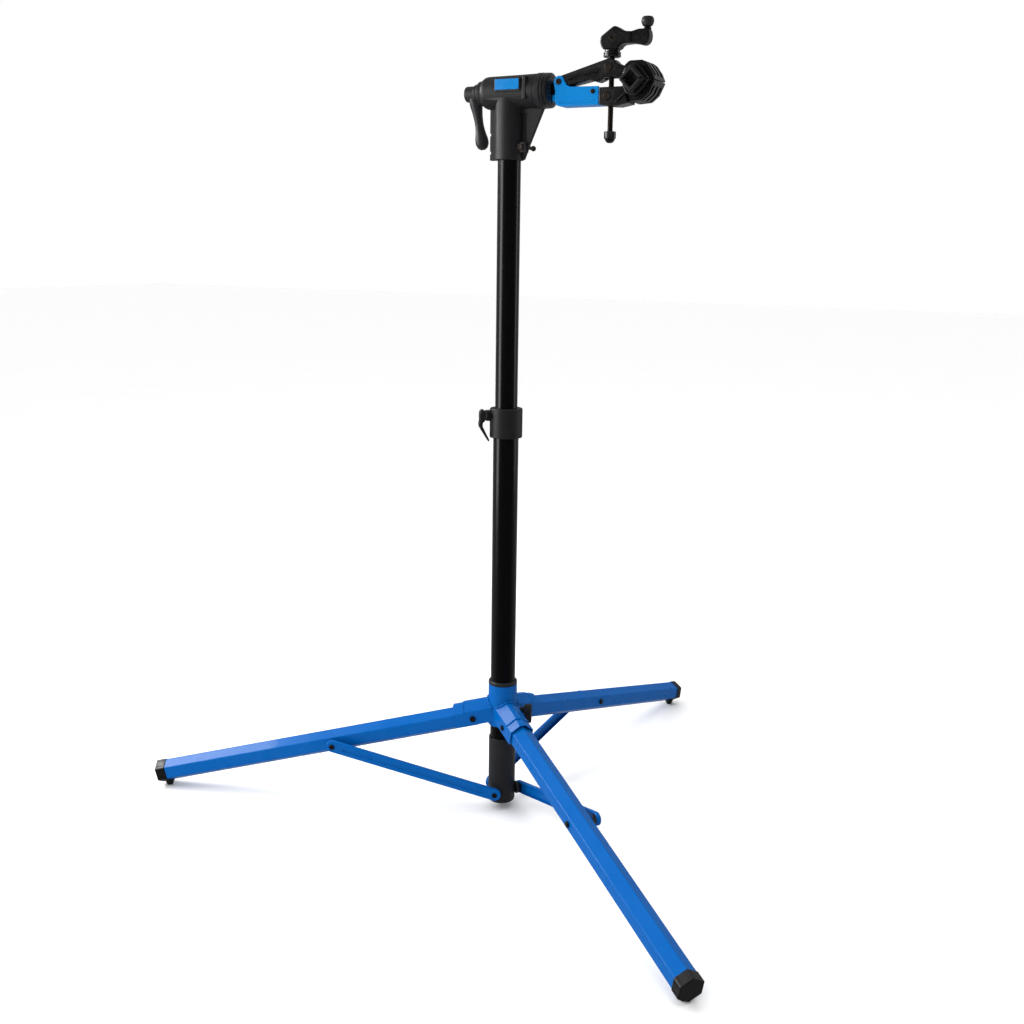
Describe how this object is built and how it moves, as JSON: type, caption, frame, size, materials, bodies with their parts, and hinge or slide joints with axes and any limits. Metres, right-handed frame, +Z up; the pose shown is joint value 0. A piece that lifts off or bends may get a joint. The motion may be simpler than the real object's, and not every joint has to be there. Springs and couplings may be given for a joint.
{
  "type": "bike repair stand",
  "caption": "Folding tripod stand with a telescoping mast and a swivelling, crank-driven clamp that holds a bicycle by a frame tube or seat post.",
  "frame": {"origin": "on the axis of the mast, at the underside of its boot, which hangs 12.5 mm above the floor that the feet stand on", "axes": "+Z up along the mast; +X along the barrel of the head towards the clamp; a clamped tube lies along Y"},
  "size_m": [1.178, 1.1082, 1.3914],
  "materials": {
    "blue_enamel": "glossy enamel",
    "cast_blue": "satin enamel over cast metal",
    "badge": "printed label",
    "black_enamel": "gloss enamel",
    "moulded_plastic": "fine moulded grain",
    "cast_black": "satin enamel over cast metal",
    "jaw_rubber": "satin",
    "foot_rubber": "satin",
    "black_steel": "black oxide"
  },
  "bodies": {
    "base": {"lower_mast_tube": "black_enamel", "mast_guide_bush": "moulded_plastic", "mast_boot": "moulded_plastic", "front_boot_bolt": "black_steel", "right_boot_bolt": "black_steel", "left_boot_bolt": "black_steel", "height_collar": "moulded_plastic", "collar_skewer": "black_steel"},
    "height_lever": {"height_lever": "moulded_plastic"},
    "hub": {"hub_bracket": "blue_enamel", "hub_upper_bush": "moulded_plastic", "hub_lower_bush": "moulded_plastic"},
    "hub_lock": {"hub_lock_screw": "black_steel", "hub_lock_knob": "moulded_plastic"},
    "front_leg": {"front_leg": "blue_enamel", "front_foot_cap": "foot_rubber", "front_leg_pivot_bolt": "black_steel", "front_leg_strut_bolt": "black_steel"},
    "front_strut": {"front_strut": "blue_enamel", "front_strut_rivet": "black_steel"},
    "right_leg": {"right_leg": "blue_enamel", "right_foot_cap": "foot_rubber", "right_leg_pivot_bolt": "black_steel", "right_leg_strut_bolt": "black_steel"},
    "right_strut": {"right_strut": "blue_enamel", "right_strut_rivet": "black_steel"},
    "left_leg": {"left_leg": "blue_enamel", "left_foot_cap": "foot_rubber", "left_leg_pivot_bolt": "black_steel", "left_leg_strut_bolt": "black_steel"},
    "left_strut": {"left_strut": "blue_enamel", "left_strut_rivet": "black_steel"},
    "upper_tube": {"upper_mast_tube": "black_enamel", "upper_tube_plug": "moulded_plastic"},
    "head": {"head_housing": "moulded_plastic", "head_badge": "badge", "head_pinch_nut": "black_steel", "lock_spacer": "moulded_plastic", "lock_washer": "moulded_plastic"},
    "pinch_screw": {"head_pinch_screw": "black_steel"},
    "lock_lever": {"clamp_lock_lever": "moulded_plastic"},
    "clamp": {"clamp_shaft": "cast_black", "clamp_arm": "cast_blue", "jaw_pivot_bolt": "black_steel", "lower_jaw_bolt": "black_steel", "lower_jaw": "cast_black", "lower_jaw_pad": "jaw_rubber"},
    "upper_jaw": {"upper_jaw": "cast_black", "upper_jaw_pad": "jaw_rubber"},
    "upper_trunnion": {"upper_trunnion": "black_steel"},
    "lower_nut": {"lower_trunnion_nut": "black_steel"},
    "crank": {"clamp_spindle": "black_steel", "thrust_washer": "cast_black", "spindle_end_cap": "cast_black", "crank_arm": "cast_black", "crank_screw": "black_steel"},
    "crank_knob": {"crank_knob": "cast_black"}
  },
  "joints": [
    {"name": "hub_slide", "type": "slide", "parent": "base", "child": "hub", "axis": [0, 0, 1], "range_m": [0, 0.443]},
    {"name": "front_leg_fold", "type": "hinge", "parent": "hub", "child": "front_leg", "pos_m": [0.04148, -0.03299, 0.167], "axis": [0.6225, 0.7826, 0], "range_deg": [0, 74.1]},
    {"name": "front_strut_fold", "type": "hinge", "parent": "base", "child": "front_strut", "pos_m": [0.02759, 0.02022, 0.023], "axis": [-0.6225, -0.7826, 0], "range_deg": [0, 66.2]},
    {"name": "right_leg_fold", "type": "hinge", "parent": "hub", "child": "right_leg", "pos_m": [0.00783, 0.05242, 0.167], "axis": [-0.989, 0.1478, 0], "range_deg": [0, 74.1]},
    {"name": "right_strut_fold", "type": "hinge", "parent": "base", "child": "right_strut", "pos_m": [-0.03131, 0.01378, 0.023], "axis": [0.989, -0.1478, 0], "range_deg": [0, 66.2]},
    {"name": "left_leg_fold", "type": "hinge", "parent": "hub", "child": "left_leg", "pos_m": [-0.04931, -0.01943, 0.167], "axis": [0.3665, -0.9304, 0], "range_deg": [0, 74.1]},
    {"name": "left_strut_fold", "type": "hinge", "parent": "base", "child": "left_strut", "pos_m": [0.00372, -0.034, 0.023], "axis": [-0.3665, 0.9304, 0], "range_deg": [0, 66.2]},
    {"name": "hub_lock_turn", "type": "hinge", "parent": "hub", "child": "hub_lock", "pos_m": [0.04187, 0.01649, 0.181], "axis": [0.9304, 0.3665, 0], "continuous": true},
    {"name": "height_lever_turn", "type": "hinge", "parent": "base", "child": "height_lever", "pos_m": [-0.03231, -0.02524, 0.7335], "axis": [-0.788, -0.6157, 0], "range_deg": [0, 120]},
    {"name": "mast_height", "type": "slide", "parent": "base", "child": "upper_tube", "axis": [0, 0, 1], "range_m": [-0.415, 0.13]},
    {"name": "head_swivel", "type": "hinge", "parent": "upper_tube", "child": "head", "pos_m": [0, 0, 1.2], "axis": [0, 0, 1], "continuous": true},
    {"name": "pinch_screw_turn", "type": "hinge", "parent": "head", "child": "pinch_screw", "pos_m": [0.02889, -0.00253, 1.187], "axis": [0.0872, 0.9962, 0], "continuous": true},
    {"name": "clamp_lock_turn", "type": "hinge", "parent": "head", "child": "lock_lever", "pos_m": [-0.07, 0, 1.2755], "axis": [1, 0, 0], "range_deg": [0, 120]},
    {"name": "clamp_rotation", "type": "hinge", "parent": "head", "child": "clamp", "pos_m": [0.074, 0, 1.2755], "axis": [1, 0, 0], "continuous": true},
    {"name": "jaw_open", "type": "hinge", "parent": "clamp", "child": "upper_jaw", "pos_m": [0.097, 0, 1.2865], "axis": [0, -1, 0], "range_deg": [0, 24.05]},
    {"name": "upper_trunnion_tilt", "type": "hinge", "parent": "upper_jaw", "child": "upper_trunnion", "pos_m": [0.183, 0, 1.3055], "axis": [0, 1, 0], "range_deg": [0, 13]},
    {"name": "lower_nut_tilt", "type": "hinge", "parent": "clamp", "child": "lower_nut", "pos_m": [0.183, 0, 1.261], "axis": [0, -1, 0], "range_deg": [0, 11.05]},
    {"name": "crank_turn", "type": "hinge", "parent": "upper_trunnion", "child": "crank", "pos_m": [0.183, 0, 1.33], "axis": [0, 0, 1], "range_deg": [0, 3132]},
    {"name": "knob_spin", "type": "hinge", "parent": "crank", "child": "crank_knob", "pos_m": [0.2415, 0, 1.3717], "axis": [0, 0, 1], "continuous": true}
  ],
  "couplings": [
    {"joint": "front_leg_fold", "follows": "hub_slide", "rad_per_m": 2.9186},
    {"joint": "front_strut_fold", "follows": "hub_slide", "rad_per_m": 2.6046},
    {"joint": "right_leg_fold", "follows": "hub_slide", "rad_per_m": 2.9186},
    {"joint": "right_strut_fold", "follows": "hub_slide", "rad_per_m": 2.6046},
    {"joint": "left_leg_fold", "follows": "hub_slide", "rad_per_m": 2.9186},
    {"joint": "left_strut_fold", "follows": "hub_slide", "rad_per_m": 2.6046},
    {"joint": "jaw_open", "follows": "crank_turn", "ratio": 0.0076628},
    {"joint": "upper_trunnion_tilt", "follows": "crank_turn", "ratio": 0.0041411},
    {"joint": "lower_nut_tilt", "follows": "crank_turn", "ratio": 0.0035217}
  ]
}
